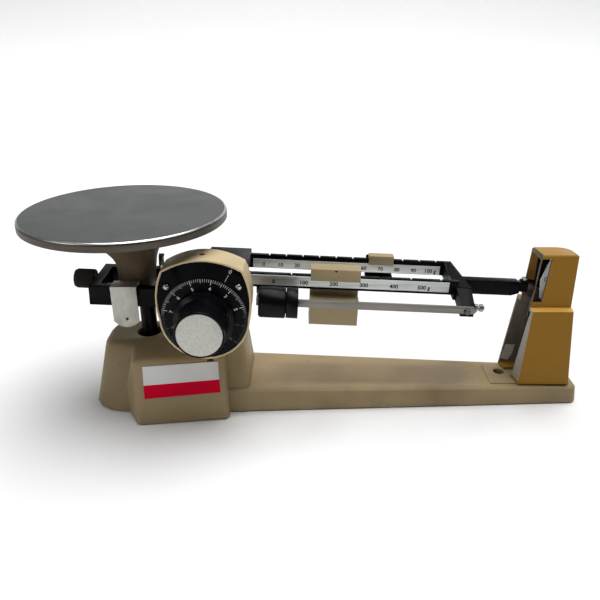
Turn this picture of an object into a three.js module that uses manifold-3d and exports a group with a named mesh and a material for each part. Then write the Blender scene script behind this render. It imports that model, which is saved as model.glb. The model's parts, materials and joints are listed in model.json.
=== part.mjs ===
// Triple beam balance with a dial, as an assembly of named solids.
// Millimetres. +Z is up, +X runs along the beams towards the pointer and -Y is the reading side.
// Lengths below are measured from a point on the table under the centre of the round plate. The whole
// model is then moved so that its own origin lies on the table under the middle of its overall box.

import * as THREE from "three";
import { mergeVertices } from "three/addons/utils/BufferGeometryUtils.js";
import Module from "manifold-3d";

const wasm = await Module();
wasm.setup();

// ---- driving dimensions ------------------------------------------------------------------------

const GAP = 0.3; // left between pieces that touch
const ORIGIN_X = 140.4; // from the plate's centre to the middle of the overall box
const PLATE_RADIUS = 76.2;
const PLATE_TOP = 157.3;
const FULCRUM = { x: 62.6, z: 91 }; // main knife edge, also the dial's axis
const BEAM_SLOPE = THREE.MathUtils.degToRad(2.64); // beams run down towards the pointer
const ARM_LENGTH = FULCRUM.x / Math.cos(BEAM_SLOPE); // load knife edge to main knife edge
const LOAD_Z = FULCRUM.z + FULCRUM.x * Math.tan(BEAM_SLOPE); // height of the load knife edge

const BEAM = { y: 18.1, thick: 3.4, start: 26, end: 187 };
const REAR_BAR = { bottom: 15.2, top: 26.5 };
const FRONT_BAR = { bottom: 14.2, top: 25.2 };
const SCALE = { start: 30.3, end: 179.8, thick: 0.6 };
const REAR_STRIP = { bottom: 15.7, top: 23 };
const FRONT_STRIP = { bottom: 16.3, top: 24.2 };
const REAR_NOTCH = { first: 43.2, pitch: 13.33, count: 11 }; // 0 to 100 g
const FRONT_NOTCH = { first: 61.2, pitch: 22.54, count: 6 }; // 0 to 500 g
const LARGE_POISE = { centre: 94, half: 18.4, notch: 2 }; // standing at 200 g
const SMALL_POISE = { centre: 132.1, half: 9.8, notch: 7 }; // standing at 70 g
const TARE = { y: -38, w: 10.3, bar: 5.8, thick: 1.8, end: 194.6, screw: 191, radius: 11.5 };
const BALANCE_STUD = { start: 192.9, end: 204.5, y: -33, w: 10.4 };
const YOKE = { left: -89.7, outer: 24, inner: 17, top: 10, bottom: -4.5 };

const PEDESTAL = { bottom: 1.2, top: 56 };
const BED = { left: 70, right: 357, flat: 16.4 }; // flat: top of the pad under the tower
const WALL = 4;
const STEM = { x: 10, radius: 6.2, pivotZ: 33 };
const CHECK_PIVOT = { x: STEM.x + FULCRUM.x, z: STEM.pivotZ - (LOAD_Z - FULCRUM.z) };

const HOUSING = { radius: 32.6, front: -50, back: -26.2, wall: 1.2 };
const FACE_PLATE = { front: -48.6, back: -47.4 };
const DIAL_DISC = { radius: 31.1, front: -49.8, back: -48.9 };
const KNOB = { radius: 17.6, skirt: 22, front: -76.1 };
const SPINDLE = 2.3;
const SPRING_POST = 17.6; // from the main knife edge to the post that holds the spring's outer end
const FACE_SCREW = { x: 25.5, z: 24.7, head: 2.4 }; // from the dial's axis

const POST_WALL = 2.2;
const LEDGE = { bottom: 81.6, top: 83.1 }; // shoulder of the tower's post
const CAP = { bottom: 83.4, top: 126, front: -13.4, rear: 10.6 }; // upper box of the tower
const VANE_Y = 4.3;
const POINTER_W = 21; // height of the pointer above the fulcrum, across the beam

// ---- materials ---------------------------------------------------------------------------------

const paint = (color, roughness, metalness = 0) => ({ color, roughness, metalness });
const BEIGE = paint(0xb4a086, 0.55);
const GOLD = paint(0xa67a33, 0.5);
const BLACK = paint(0x161719, 0.45);
const BLACK_PLASTIC = paint(0x101113, 0.35);
const TAN = paint(0xb99f78, 0.6);
const STEEL = paint(0x9b9c9c, 0.32, 1);
const ALUMINIUM = paint(0xb3b1ab, 0.4, 1);
const SILVER = paint(0xcfcdc6, 0.45, 0.3);
const WHITE = paint(0xe9e7e0, 0.5);
const RUBBER = paint(0x1c1b1a, 0.85);
const BROWN = paint(0x5d4f40, 0.6);

// ---- solids ------------------------------------------------------------------------------------

function signedVolume(positions, index) {
  const [a, b, c] = [new THREE.Vector3(), new THREE.Vector3(), new THREE.Vector3()];
  let sum = 0;
  for (let i = 0; i < index.length; i += 3) {
    a.fromArray(positions, 3 * index[i]);
    b.fromArray(positions, 3 * index[i + 1]);
    c.fromArray(positions, 3 * index[i + 2]);
    sum += a.dot(b.cross(c)) / 6;
  }
  return sum;
}

// A closed three.js geometry becomes a manifold solid with its faces out.
function solid(geometry) {
  const bare = geometry.index ? geometry.toNonIndexed() : geometry.clone();
  bare.deleteAttribute("normal");
  bare.deleteAttribute("uv");
  const merged = mergeVertices(bare, 1e-4);
  const vertProperties = new Float32Array(merged.attributes.position.array);
  const triVerts = new Uint32Array(merged.index.array);
  if (signedVolume(vertProperties, triVerts) < 0) {
    for (let i = 0; i < triVerts.length; i += 3) {
      [triVerts[i + 1], triVerts[i + 2]] = [triVerts[i + 2], triVerts[i + 1]];
    }
  }
  return new wasm.Manifold(new wasm.Mesh({ numProp: 3, vertProperties, triVerts }));
}

const { lerp } = THREE.MathUtils;
const join = (...parts) => parts.reduce((sum, part) => sum.add(part));
const cut = (body, ...tools) => tools.reduce((rest, tool) => rest.subtract(tool), body);

function box(x0, x1, y0, y1, z0, z1) {
  const geometry = new THREE.BoxGeometry(x1 - x0, y1 - y0, z1 - z0);
  return solid(geometry.translate((x0 + x1) / 2, (y0 + y1) / 2, (z0 + z1) / 2));
}

function extrude(points, depth) {
  const shape = new THREE.Shape(points.map(([x, y]) => new THREE.Vector2(x, y)));
  return new THREE.ExtrudeGeometry(shape, { depth, bevelEnabled: false, steps: 1 });
}

const slabZ = (points, z0, z1) => solid(extrude(points, z1 - z0).translate(0, 0, z0));

// Points are (x, z); the slab runs from y0 to y1.
const slabY = (points, y0, y1) => solid(extrude(points, y1 - y0).rotateX(Math.PI / 2).translate(0, y1, 0));

// Points are (y, z); the slab runs from x0 to x1.
function slabX(points, x0, x1) {
  const turn = new THREE.Matrix4().makeBasis(
    new THREE.Vector3(0, 1, 0), new THREE.Vector3(0, 0, 1), new THREE.Vector3(1, 0, 0));
  return solid(extrude(points, x1 - x0).applyMatrix4(turn).translate(x0, 0, 0));
}

function rod(axis, radius, from, to, centre, sides = 20) {
  const geometry = new THREE.CylinderGeometry(radius, radius, to - from, sides);
  const middle = (from + to) / 2;
  if (axis === "x") geometry.rotateZ(Math.PI / 2).translate(middle, centre[0], centre[1]);
  if (axis === "y") geometry.translate(centre[0], middle, centre[1]);
  if (axis === "z") geometry.rotateX(Math.PI / 2).translate(centre[0], centre[1], middle);
  return solid(geometry);
}

// profile: [radius, y] pairs that start and end on the axis; the axis stands at (x, z).
function turned(profile, x, z, sides = 40) {
  const points = profile.map(([r, y]) => new THREE.Vector2(r, y));
  return solid(new THREE.LatheGeometry(points, sides).translate(x, 0, z));
}

// Skins rings that have equal numbers of points; the end caps are seen along the dropped axis.
function loft(rings, dropped = 2) {
  const count = rings[0].length;
  const kept = [0, 1, 2].filter((axis) => axis !== dropped);
  const flat = rings[0].map((point) => new THREE.Vector2(point[kept[0]], point[kept[1]]));
  const cap = THREE.ShapeUtils.triangulateShape(flat, []);
  const index = [];
  for (let ring = 0; ring + 1 < rings.length; ring += 1) {
    for (let i = 0; i < count; i += 1) {
      const [a, b] = [ring * count + i, ring * count + ((i + 1) % count)];
      index.push(a, b, b + count, a, b + count, a + count);
    }
  }
  const turnsLeft = THREE.ShapeUtils.area(flat) > 0;
  const last = (rings.length - 1) * count;
  for (const [a, b, c] of cap) {
    index.push(...(turnsLeft ? [a, c, b] : [a, b, c]));
    index.push(...(turnsLeft ? [a, b, c] : [a, c, b]).map((i) => i + last));
  }
  const geometry = new THREE.BufferGeometry();
  geometry.setAttribute("position", new THREE.Float32BufferAttribute(rings.flat(2), 3));
  geometry.setIndex(index);
  return solid(geometry);
}

// Rounds each corner of a polygon with its own radius, in a few steps.
function rounded(corners, radii, steps = 4) {
  const outline = [];
  corners.forEach(([x, y], i) => {
    const radius = Array.isArray(radii) ? radii[i] : radii;
    const corner = new THREE.Vector2(x, y);
    if (!radius) {
      outline.push([x, y]);
      return;
    }
    const before = corners[(i + corners.length - 1) % corners.length];
    const after = corners[(i + 1) % corners.length];
    const toBefore = new THREE.Vector2(...before).sub(corner).normalize();
    const toAfter = new THREE.Vector2(...after).sub(corner).normalize();
    const half = Math.acos(THREE.MathUtils.clamp(toBefore.dot(toAfter), -1, 1)) / 2;
    const reach = radius / Math.tan(half);
    const inward = toBefore.clone().add(toAfter).normalize();
    const centre = inward.multiplyScalar(radius / Math.sin(half)).add(corner);
    const start = toBefore.multiplyScalar(reach).add(corner).sub(centre);
    const end = toAfter.multiplyScalar(reach).add(corner).sub(centre);
    let turn = end.angle() - start.angle();
    if (turn > Math.PI) turn -= 2 * Math.PI;
    if (turn < -Math.PI) turn += 2 * Math.PI;
    for (let step = 0; step <= steps; step += 1) {
      const spoke = start.clone().rotateAround(new THREE.Vector2(), (turn * step) / steps).add(centre);
      outline.push([spoke.x, spoke.y]);
    }
  });
  return outline;
}

const atHeight = (outline, z) => outline.map(([x, y]) => [x, y, z]);

const root = new THREE.Group();
root.position.x = -ORIGIN_X;
const beamGroup = new THREE.Group(); // its X runs along the beams, its origin is the main knife edge
beamGroup.position.set(FULCRUM.x, 0, FULCRUM.z);
beamGroup.rotation.y = BEAM_SLOPE;
root.add(beamGroup);

function place(name, manifold, material, group = root) {
  const mesh = manifold.getMesh();
  const geometry = new THREE.BufferGeometry();
  geometry.setAttribute("position", new THREE.BufferAttribute(new Float32Array(mesh.vertProperties), 3));
  geometry.setIndex(new THREE.BufferAttribute(new Uint32Array(mesh.triVerts), 1));
  geometry.computeVertexNormals();
  const piece = new THREE.Mesh(geometry, new THREE.MeshStandardMaterial(material));
  piece.name = name;
  group.add(piece);
}

const onBeam = (name, manifold, material) => place(name, manifold, material, beamGroup);

// ---- base --------------------------------------------------------------------------------------

const bedTop = (x) => 19.8 - 0.0205 * (x - 85);
const bedHalf = (x) => 33.3 - 0.0467 * (x - 70);

function pedestalRing(z, inset) {
  const t = (z - PEDESTAL.bottom) / (PEDESTAL.top - PEDESTAL.bottom);
  const left = lerp(-36, -23, t) + inset;
  const right = lerp(93.5, 88, t) - inset;
  const half = lerp(33, 22, t) - inset;
  const corners = [[left, -half], [right, -half], [right, half], [left, half]];
  const leftRound = lerp(26, 15, t) - inset;
  return atHeight(rounded(corners, [leftRound, 6 - inset * 0.8, 6 - inset * 0.8, leftRound]), z);
}

// The boss's front face leans back and turns away a little towards +X.
const bossFaceY = (x, z) => -51.7 + 0.13 * (x - 7.5) + 0.104 * (z - PEDESTAL.bottom);

// Its front edges are well rounded and its left flank flares out towards the pedestal.
function bossRing(z, inset) {
  const t = z / PEDESTAL.top;
  const [left, right] = [lerp(6.5, 4.5, t) + inset, lerp(76, 72.6, t) - inset];
  const corners = [
    [left, bossFaceY(left, z) + inset], [right, bossFaceY(right, z) + inset],
    [right + 0.6, -16], [left - lerp(21, 4, t), -16],
  ];
  const round = Math.max(4.5 - inset, 1);
  return atHeight(rounded(corners, [round, round, 0, 0], 5), z);
}

function bedOutline(inset) {
  const end = BED.right - inset;
  const corners = [
    [BED.left, inset - bedHalf(BED.left)], [end, inset - bedHalf(BED.right)],
    [end, bedHalf(BED.right) - inset], [BED.left, bedHalf(BED.left) - inset],
  ];
  return rounded(corners, [0, 7 - inset / 2, 7 - inset / 2, 0], 5);
}

const bedRing = (inset, drop) => bedOutline(inset).map(([x, y]) => [x, y, bedTop(x) - drop]);

function baseShell() {
  const pedestal = loft([
    pedestalRing(PEDESTAL.bottom, 0), pedestalRing(50.6, 0), pedestalRing(53.2, 0.8),
    pedestalRing(55.2, 2.4), pedestalRing(PEDESTAL.top, 4.8),
  ]);
  const boss = loft([
    bossRing(PEDESTAL.bottom, 0), bossRing(50.6, 0), bossRing(52.6, 0.6),
    bossRing(53.9, 1.8), bossRing(54.4, 3.6),
  ]);
  const bed = loft([atHeight(bedOutline(0), PEDESTAL.bottom), bedRing(1.1, 1.4), bedRing(2.6, 0)]);
  return join(pedestal, boss, bed);
}

function baseHollow() {
  const pedestal = loft([pedestalRing(-1, WALL), pedestalRing(PEDESTAL.top - WALL, WALL)]);
  const boss = loft([bossRing(-1, WALL), bossRing(49, WALL)]);
  const bed = loft([atHeight(bedOutline(WALL), -1), bedRing(WALL, WALL)]);
  return join(pedestal, boss, bed);
}

const FOOT_PLACES = [[-20, -17], [-20, 17], [343, -9.6], [343, 9.6]];

// The trough in the bed's top is a shallow dish.
function troughRing(inset, depth) {
  const [left, right] = [98 + inset, 280 - 2 * inset];
  const corners = [[left, inset - 26], [right, inset - 17], [right, 17 - inset], [left, 26 - inset]];
  return rounded(corners, 7 - 0.4 * inset).map(([x, y]) => [x, y, bedTop(x) - depth]);
}

function baseCasting() {
  const pads = FOOT_PLACES.map(([x, y]) => rod("z", 8, 3, x < 0 ? 14 : 12.4, [x, y], 16));
  const lugs = [-8, 4].map((y) => box(CHECK_PIVOT.x - 5, CHECK_PIVOT.x + 5, y, y + 4, 24, 53));
  const towerPad = slabZ(rounded([[286, -15.2], [350, -14.6], [350, 14.6], [286, 15.2]], 1), 12, BED.flat);
  const trough = loft([
    troughRing(13, 1.9), troughRing(9, 1.7), troughRing(4, 0.9), troughRing(0, 0.06), troughRing(0, -9),
  ]);
  const shell = cut(baseShell(), baseHollow(), trough);
  return cut(
    join(shell, ...pads, ...lugs, towerPad),
    rod("z", 9.6, 50, 58, [9.5, 0], 28), // stem hole in the plateau
    rod("y", 2 + GAP, -9, 9, [CHECK_PIVOT.x, CHECK_PIVOT.z], 16),
    rod("z", 2.6, 45, 56, [63.3, -38.8], 16), // screw hole in the boss
    rod("z", 4.5, 10, 20, [297.7, 3.4], 20), // screw hole beside the tower
  );
}

function labelPlate() {
  const corners = [[12.9, 23], [69.9, 24.4], [69, 50.1], [13, 49.5]];
  const skin = (offset) => corners.map(([x, z]) => [x, bossFaceY(x, z) - offset, z]);
  return loft([skin(GAP), skin(GAP + 0.5)], 1);
}

place("base_casting", baseCasting(), BEIGE);
FOOT_PLACES.forEach(([x, y], i) => {
  place(`foot_${i + 1}`, rod("z", 6, 0, 3 - GAP, [x, y], 20), RUBBER);
});
place("label_plate", labelPlate(), WHITE);

// ---- fulcrum stand -----------------------------------------------------------------------------

function fulcrumStand() {
  const x = FULCRUM.x;
  const floor = PEDESTAL.top + GAP;
  const horns = [-12.5, 7].map((y) => box(x - 5.5, x + 5.5, y, y + 5.5, 75, 86.5));
  const sole = box(x - 12, x + 12, -12.5, 12.5, floor, 60);
  const column = box(x - 7.5, x + 7.5, -12.5, 12.5, 59, 76);
  return join(sole, column, ...horns);
}

place("fulcrum_stand", fulcrumStand(), BLACK);
for (const [name, y] of [["fulcrum_bearing_front", -12.2], ["fulcrum_bearing_rear", 7.2]]) {
  place(name, box(FULCRUM.x - 4, FULCRUM.x + 4, y, y + 5, 86.8, FULCRUM.z - GAP), STEEL);
}

// ---- dial --------------------------------------------------------------------------------------

// Housing outline, from the dial's axis: round below, convex sides, a wide arc on top.
function housingOutline(inset) {
  const r = HOUSING.radius - inset;
  const shoulder = { x: 28.9 - inset, z: 36.6 - inset * 0.6 };
  const crown = 45.1 - inset;
  const outline = [];
  for (let i = 0; i <= 16; i += 1) {
    const angle = Math.PI + (Math.PI * i) / 16;
    outline.push([r * Math.cos(angle), r * Math.sin(angle)]);
  }
  const bulge = 3;
  for (let i = 1; i <= 6; i += 1) {
    const t = i / 6;
    outline.push([r + (shoulder.x - r) * t + bulge * 4 * t * (1 - t), shoulder.z * t]);
  }
  for (let i = 1; i < 14; i += 1) {
    const t = i / 14;
    outline.push([shoulder.x * (1 - 2 * t), shoulder.z + (crown - shoulder.z) * 4 * t * (1 - t)]);
  }
  for (let i = 6; i >= 1; i -= 1) {
    const t = i / 6;
    outline.push([-(r + (shoulder.x - r) * t + bulge * 4 * t * (1 - t)), shoulder.z * t]);
  }
  return outline.map(([x, z]) => [x + FULCRUM.x, z + FULCRUM.z]);
}

const onDialAxis = [FULCRUM.x, FULCRUM.z];
const screwPlaces = [-1, 1].map((side) => [FULCRUM.x + side * FACE_SCREW.x, FULCRUM.z + FACE_SCREW.z]);

function dialHousing() {
  const { front, back, wall } = HOUSING;
  const shell = cut(
    slabY(housingOutline(0), front, back),
    slabY(housingOutline(wall), front - 1, back - 2.2),
  );
  const posts = screwPlaces.map((at) => rod("y", 3, FACE_PLATE.back + GAP, back - 1, at, 14));
  const screwHoles = screwPlaces.map((at) => rod("y", 1.3, FACE_PLATE.back, -31, at, 10));
  return cut(
    join(shell, ...posts), ...screwHoles,
    rod("y", 5, back - 3, back + 1, onDialAxis, 20), // bush
    rod("y", 4.6, back - 3, back + 1, [FULCRUM.x + SPRING_POST, FULCRUM.z], 16), // way of the spring's post
    rod("z", 2.3, 130, 140, [FULCRUM.x - 0.6, -37.8], 14), // hole in the crown
  );
}

function dialFacePlate() {
  const { front, back } = FACE_PLATE;
  const holes = screwPlaces.map((at) => rod("y", 1.3, front - 1, back + 1, at, 10));
  const plate = slabY(housingOutline(HOUSING.wall + GAP), front, back);
  return cut(plate, rod("y", 3.2, front - 1, back + 1, onDialAxis), ...holes);
}

function faceScrew([x, z]) {
  const { head } = FACE_SCREW;
  const seat = FACE_PLATE.front - GAP;
  const profile = [
    [0, seat - 2], [head * 0.6, seat - 1.8], [head * 0.95, seat - 1.1], [head, seat],
    [1, seat], [1, seat + 6.3], [0, seat + 6.3],
  ];
  return turned(profile, x, z, 16);
}

place("dial_housing", dialHousing(), BEIGE);
place("dial_face_plate", dialFacePlate(), BLACK_PLASTIC);
place("face_screw_left", faceScrew(screwPlaces[0]), STEEL);
place("face_screw_right", faceScrew(screwPlaces[1]), STEEL);

function dialBush() {
  const { back } = HOUSING;
  const sleeve = rod("y", 4.7, back - 5, back + 0.2, onDialAxis);
  const collar = rod("y", 6.5, back - 5, back - 2.5, onDialAxis);
  return cut(join(sleeve, collar), rod("y", SPINDLE + 0.08, back - 6, back + 1, onDialAxis));
}
place("dial_bush", dialBush(), STEEL);

function dialBracket() {
  const x = FULCRUM.x;
  const back = HOUSING.back + GAP;
  const floor = PEDESTAL.top + GAP;
  const upright = box(x - 15, x + 15, back, back + 2.4, floor, 79);
  return join(upright, box(x - 15, x + 15, back, -13.2, floor, 58.8));
}
place("dial_bracket", dialBracket(), BLACK);

place("dial_spindle", rod("y", SPINDLE, -70, -24.6, onDialAxis), STEEL);
place(
  "dial_disc",
  cut(
    rod("y", DIAL_DISC.radius, DIAL_DISC.front, DIAL_DISC.back, onDialAxis, 64),
    rod("y", SPINDLE + GAP, DIAL_DISC.front - 1, DIAL_DISC.back + 1, onDialAxis),
  ),
  BLACK_PLASTIC,
);

function dialKnob() {
  const base = DIAL_DISC.front - GAP;
  const profile = [
    [0, base], [KNOB.skirt, base], [KNOB.skirt, base - 3.8], [KNOB.skirt - 1, base - 4.8],
    [18.8, -56.4], [18, -59.5], [KNOB.radius, -61],
    [KNOB.radius, KNOB.front + 0.6], [KNOB.radius - 0.6, KNOB.front],
    [16.5, KNOB.front], [16.5, KNOB.front + 2], [0, KNOB.front + 2],
  ];
  return cut(turned(profile, ...onDialAxis, 48), rod("y", SPINDLE + GAP, -70.4, base + 1, onDialAxis));
}
place("dial_knob", dialKnob(), BLACK_PLASTIC);
place("dial_knob_cap", rod("y", 16.2, KNOB.front - 0.1, KNOB.front + 2 - GAP, onDialAxis, 48), SILVER);

// ---- tower -------------------------------------------------------------------------------------

function postRing(z, inset, leftInset = inset) {
  const t = (z - BED.flat) / (LEDGE.bottom - BED.flat);
  const frontLeft = lerp(307.6, 310, t) + leftInset;
  const rearLeft = lerp(300.6, 308.6, t) + leftInset;
  const right = lerp(348.6, 341.6, t) - inset;
  const front = lerp(-17.3, -18.3, t) + inset;
  const rear = lerp(17.2, 16.4, t) - inset;
  const corners = [[frontLeft, front], [right, front], [right, rear], [rearLeft, rear]];
  return atHeight(rounded(corners, [0, 1.2, Math.max(6 - inset, 1), 0]), z);
}

function capRing(z, inset, slope = 0) {
  const t = (z - CAP.bottom) / (CAP.top - CAP.bottom);
  const left = lerp(309.4, 312.5, t) + inset;
  const right = lerp(341.2, 340.4, t) - inset;
  const [front, rear] = [CAP.front + inset, CAP.rear - inset];
  const corners = [[left, front], [right, front], [right, rear], [left, rear]];
  const outline = rounded(corners, [0.4, 1.4, 11 - inset, 0.8], 5);
  return outline.map(([x, y]) => [x, y, z - slope * (y - CAP.front)]);
}

// The post's shoulder slopes in from the wide foot of the tower to the cap that stands on it.
function ledgeRing(z) {
  const t = (z - LEDGE.bottom) / (LEDGE.top - LEDGE.bottom);
  const [right, front, rear] = [lerp(341.6, 341.2, t), lerp(-18.3, -13.8, t), lerp(16.4, 11, t)];
  const [frontLeft, rearLeft] = [lerp(310, 309.2, t), lerp(308.6, 309.2, t)];
  const corners = [[frontLeft, front], [right, front], [right, rear], [rearLeft, rear]];
  return atHeight(rounded(corners, [0, 1.2, lerp(6, 11, t), 0]), z);
}

function towerPost() {
  const floor = BED.flat + GAP;
  const inside = floor + POST_WALL;
  const roof = LEDGE.bottom - 2;
  const walls = cut(
    join(
      loft([postRing(floor, 0), postRing(LEDGE.bottom + 0.05, 0)]),
      loft([ledgeRing(LEDGE.bottom), ledgeRing(LEDGE.top)]),
    ),
    loft([postRing(inside, POST_WALL, 1.8), postRing(roof, POST_WALL, 1.8)]),
  );
  const opening = slabX([[-6, inside], [15.2, inside], [14.4, roof], [-14.5, roof]], 290, 316);
  const throat = box(300, 338.6, CAP.front + 2, CAP.rear - 2, roof - 1, 86);
  const screwSlot = box(290, 316, -4.4, 6.4, floor - 1, inside + 1); // over the bed's screw hole
  return cut(walls, opening, throat, screwSlot);
}

function towerCap() {
  const slope = 0.066; // the roof falls towards the rear
  const outside = loft([
    capRing(CAP.bottom, 0), capRing(CAP.top - 1, 0, slope), capRing(CAP.top, 0.9, slope),
  ]);
  const inside = loft([capRing(CAP.bottom - 1, 2), capRing(CAP.top - 2.4, 2, slope)]);
  const openSide = box(300, 322, CAP.front + 2, CAP.rear - 2, CAP.bottom - 1, CAP.top - 4.2);
  const frontWindow = slabY([[310.1, 87.1], [317.3, 87.1], [320.3, 122.9], [312.7, 122.9]], -16, -10);
  return cut(outside, inside, openSide, frontWindow);
}

function indexPlate() {
  const triangle = slabY([[318.5, 101.3], [320, 85.4], [331, 85.4], [331, 119], [324.2, 119]], -0.9, -0.3);
  return join(triangle, box(330, 331, CAP.front + 2 + GAP, -0.3, 85.4, 119));
}

place("tower_post", towerPost(), GOLD);
place("tower_cap", towerCap(), GOLD);
place("index_plate", indexPlate(), WHITE);

function magnetYoke() {
  const [y0, y1] = [VANE_Y - 7.8, VANE_Y + 8.8];
  return join(
    box(318, 331, y0, y1, 51, 55), box(318, 331, y0, y0 + 1.8, 54, 76), box(318, 331, y1 - 1.8, y1, 54, 76),
    box(320, 329, 0, 9.5, BED.flat + POST_WALL + 2 * GAP, 52),
  );
}
place("magnet_yoke", magnetYoke(), STEEL);
place("magnet_front", box(318.5, 330.5, VANE_Y - 5.7, VANE_Y - 1.6, 60, 75.5), BLACK);
place("magnet_rear", box(318.5, 330.5, VANE_Y + 2.6, VANE_Y + 6.7, 60, 75.5), BLACK);

// ---- beam --------------------------------------------------------------------------------------

function beamBar(side, { bottom, top }, notches) {
  const y = side * BEAM.y;
  const bar = box(BEAM.start, BEAM.end, y - BEAM.thick / 2, y + BEAM.thick / 2, bottom, top);
  const cuts = Array.from({ length: notches.count }, (_, i) => {
    const u = notches.first + i * notches.pitch;
    return slabY([[u, top - 1.7], [u + 1.1, top + 1], [u - 1.1, top + 1]], y - 3, y + 3);
  });
  return cut(bar, ...cuts);
}

function cheek(side) {
  const outline = [
    [-26, -4.5], [-9, -10], [12, -10], [26.8, -3], [26.8, 29.3], [-3.4, 29.3], [-16, 10], [-26, 10],
  ];
  return slabY(outline, side < 0 ? -22 : 15, side < 0 ? -15 : 22);
}

function yokeArm(side) {
  const [y0, y1] = side < 0 ? [-YOKE.outer, -YOKE.inner] : [YOKE.inner, YOKE.outer];
  const arm = box(YOKE.left, -18, y0, y1, YOKE.bottom, YOKE.top);
  return join(arm, rod("y", 6.4, y0, y1, [-ARM_LENGTH, -1.6], 20));
}

// Web that ties the two beams together and reaches forward to the tare bar.
function endGusset() {
  const section = (y, u0, u1, w0, w1) => [[u0, y, w0], [u1, y, w0], [u1, y, w1], [u0, y, w1]];
  const half = BEAM.y + BEAM.thick / 2;
  const { bottom, top } = REAR_BAR;
  const web = loft([section(half, 182.4, 188.5, bottom, top), section(-half, 184, 197, 10, 20.5)], 1);
  const foot = loft([
    section(-half + 1, 185.6, 196.8, 10, 20.4), section(TARE.y + 1.4, 186.5, 196.5, 4.4, 13.2),
  ], 1);
  return join(web, foot);
}

const fulcrumTriangle = (grow) => [[0, -grow * 1.9], [3.2 + grow, 6 + grow], [-3.2 - grow, 6 + grow]];
const loadTriangle = (grow) => [
  [-ARM_LENGTH, grow * 1.9], [-ARM_LENGTH - 2.6 - grow, -4 - grow], [-ARM_LENGTH + 2.6 + grow, -4 - grow],
];

function beamCasting() {
  const cross = box(YOKE.left, YOKE.left + 7, -YOKE.outer, YOKE.outer, YOKE.bottom, YOKE.top);
  const bridge = box(-3.4, 28.6, -22, 22, 24, 29.3);
  const lug = box(35.3, 41, -BEAM.y - BEAM.thick / 2, -BEAM.y + BEAM.thick / 2, 9, FRONT_BAR.bottom + 1);
  const body = join(
    beamBar(1, REAR_BAR, REAR_NOTCH), beamBar(-1, FRONT_BAR, FRONT_NOTCH),
    cheek(1), cheek(-1), yokeArm(1), yokeArm(-1), cross, bridge, lug, endGusset(),
    rod("y", 1.6, -41.5, -20, [SPRING_POST, 0], 12),
  );
  return cut(
    body, slabY(fulcrumTriangle(GAP), -30, 30), slabY(loadTriangle(GAP), -30, 30),
    rod("x", 2.2 + GAP, YOKE.left - 1, YOKE.left + 5, [0, 6.5], 16),
    rod("y", 1.5, TARE.y - 4, -34.9, [TARE.screw, 9.2], 12),
    rod("x", 1.5 + GAP, BALANCE_STUD.start - 1, 198, [BALANCE_STUD.y, BALANCE_STUD.w], 12),
  );
}

onBeam("beam_casting", beamCasting(), BLACK);
onBeam("fulcrum_knife", slabY(fulcrumTriangle(0), -21.5, 21.5), STEEL);
onBeam("load_knife_front", slabY(loadTriangle(0), -25.8, -13.6), STEEL);
onBeam("load_knife_rear", slabY(loadTriangle(0), 13.6, 25.8), STEEL);

for (const [name, y, strip] of [["rear_scale", BEAM.y, REAR_STRIP], ["front_scale", -BEAM.y, FRONT_STRIP]]) {
  const face = y - BEAM.thick / 2 - GAP;
  onBeam(name, box(SCALE.start, SCALE.end, face - SCALE.thick, face, strip.bottom, strip.top), ALUMINIUM);
}

function armClip() {
  const foot = YOKE.top + GAP;
  const section = [
    [17.6, foot], [22, foot], [22, foot + 0.8], [18.4, foot + 0.8],
    [18.4, 20], [20.4, 22], [19.8, 22.6], [17.6, 20.6],
  ];
  return slabX(section, -45.4, -41);
}
onBeam("arm_clip", armClip(), STEEL);

onBeam("zero_stud", rod("x", 2.2, YOKE.left - 14.8, YOKE.left + 4.6, [0, 6.5], 16), STEEL);

function zeroKnob() {
  const knurl = Array.from({ length: 56 }, (_, i) => {
    const angle = (2 * Math.PI * i) / 56;
    const r = i % 2 ? 7.6 : 7.2;
    return [r * Math.cos(angle), 6.5 + r * Math.sin(angle)];
  });
  const body = join(
    slabX(knurl, YOKE.left - 15.6, YOKE.left - 1.4),
    rod("x", 6.9, YOKE.left - 17, YOKE.left - 15.2, [0, 6.5], 28),
  );
  return cut(body, rod("x", 2.26, YOKE.left - 15.4, YOKE.left, [0, 6.5], 16));
}
onBeam("zero_adjust_knob", zeroKnob(), BLACK_PLASTIC);

function pointerArm() {
  const outline = [[194.4, 8.8], [233.5, 8.8], [239.5, 11], [239.5, 19.4], [237, 20.5], [194.4, 20.5]];
  return join(slabY(outline, -4, 4), box(238, 246, -3, 3, 12, 19.4));
}
onBeam("pointer_arm", pointerArm(), BLACK);
onBeam(
  "pointer",
  cut(slabZ([[240, -2.6], [247, -2.6], [255.2, -0.2], [255.2, 0.2], [247, 2.6], [240, 2.6]], 19.7, POINTER_W),
    rod("z", 1.2, 18, 22, [243, 0], 12)),
  BLACK,
);
onBeam(
  "pointer_screw",
  join(rod("z", 2.5, POINTER_W + GAP, 23, [243, 0], 18), rod("z", 0.9, 19.7, 22, [243, 0], 10)),
  STEEL,
);

function dampingVane() {
  const outline = [
    [225, 11], [240, 11], [253, 4], [253, -12], [266, -12], [266, 10], [242, 18.6], [225, 18.6],
  ];
  return slabY(outline, VANE_Y, VANE_Y + 1);
}
onBeam("damping_vane", dampingVane(), ALUMINIUM);

// ---- tare bar ----------------------------------------------------------------------------------

function tareBar() {
  const [y0, y1] = [TARE.y - TARE.thick / 2, TARE.y + TARE.thick / 2];
  const half = TARE.bar / 2;
  const bar = join(
    box(36.2, TARE.end, y0, y1, TARE.w - half, TARE.w + half),
    rod("y", half, y0, y1, [TARE.end, TARE.w], 20),
    box(36.2, 37.7, y0, -BEAM.y - BEAM.thick / 2 - GAP, 9, 12.7),
  );
  return cut(bar, rod("y", 1.5, y0 - 1, y1 + 1, [TARE.screw, 9.2], 12));
}
onBeam("tare_bar", tareBar(), ALUMINIUM);

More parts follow.
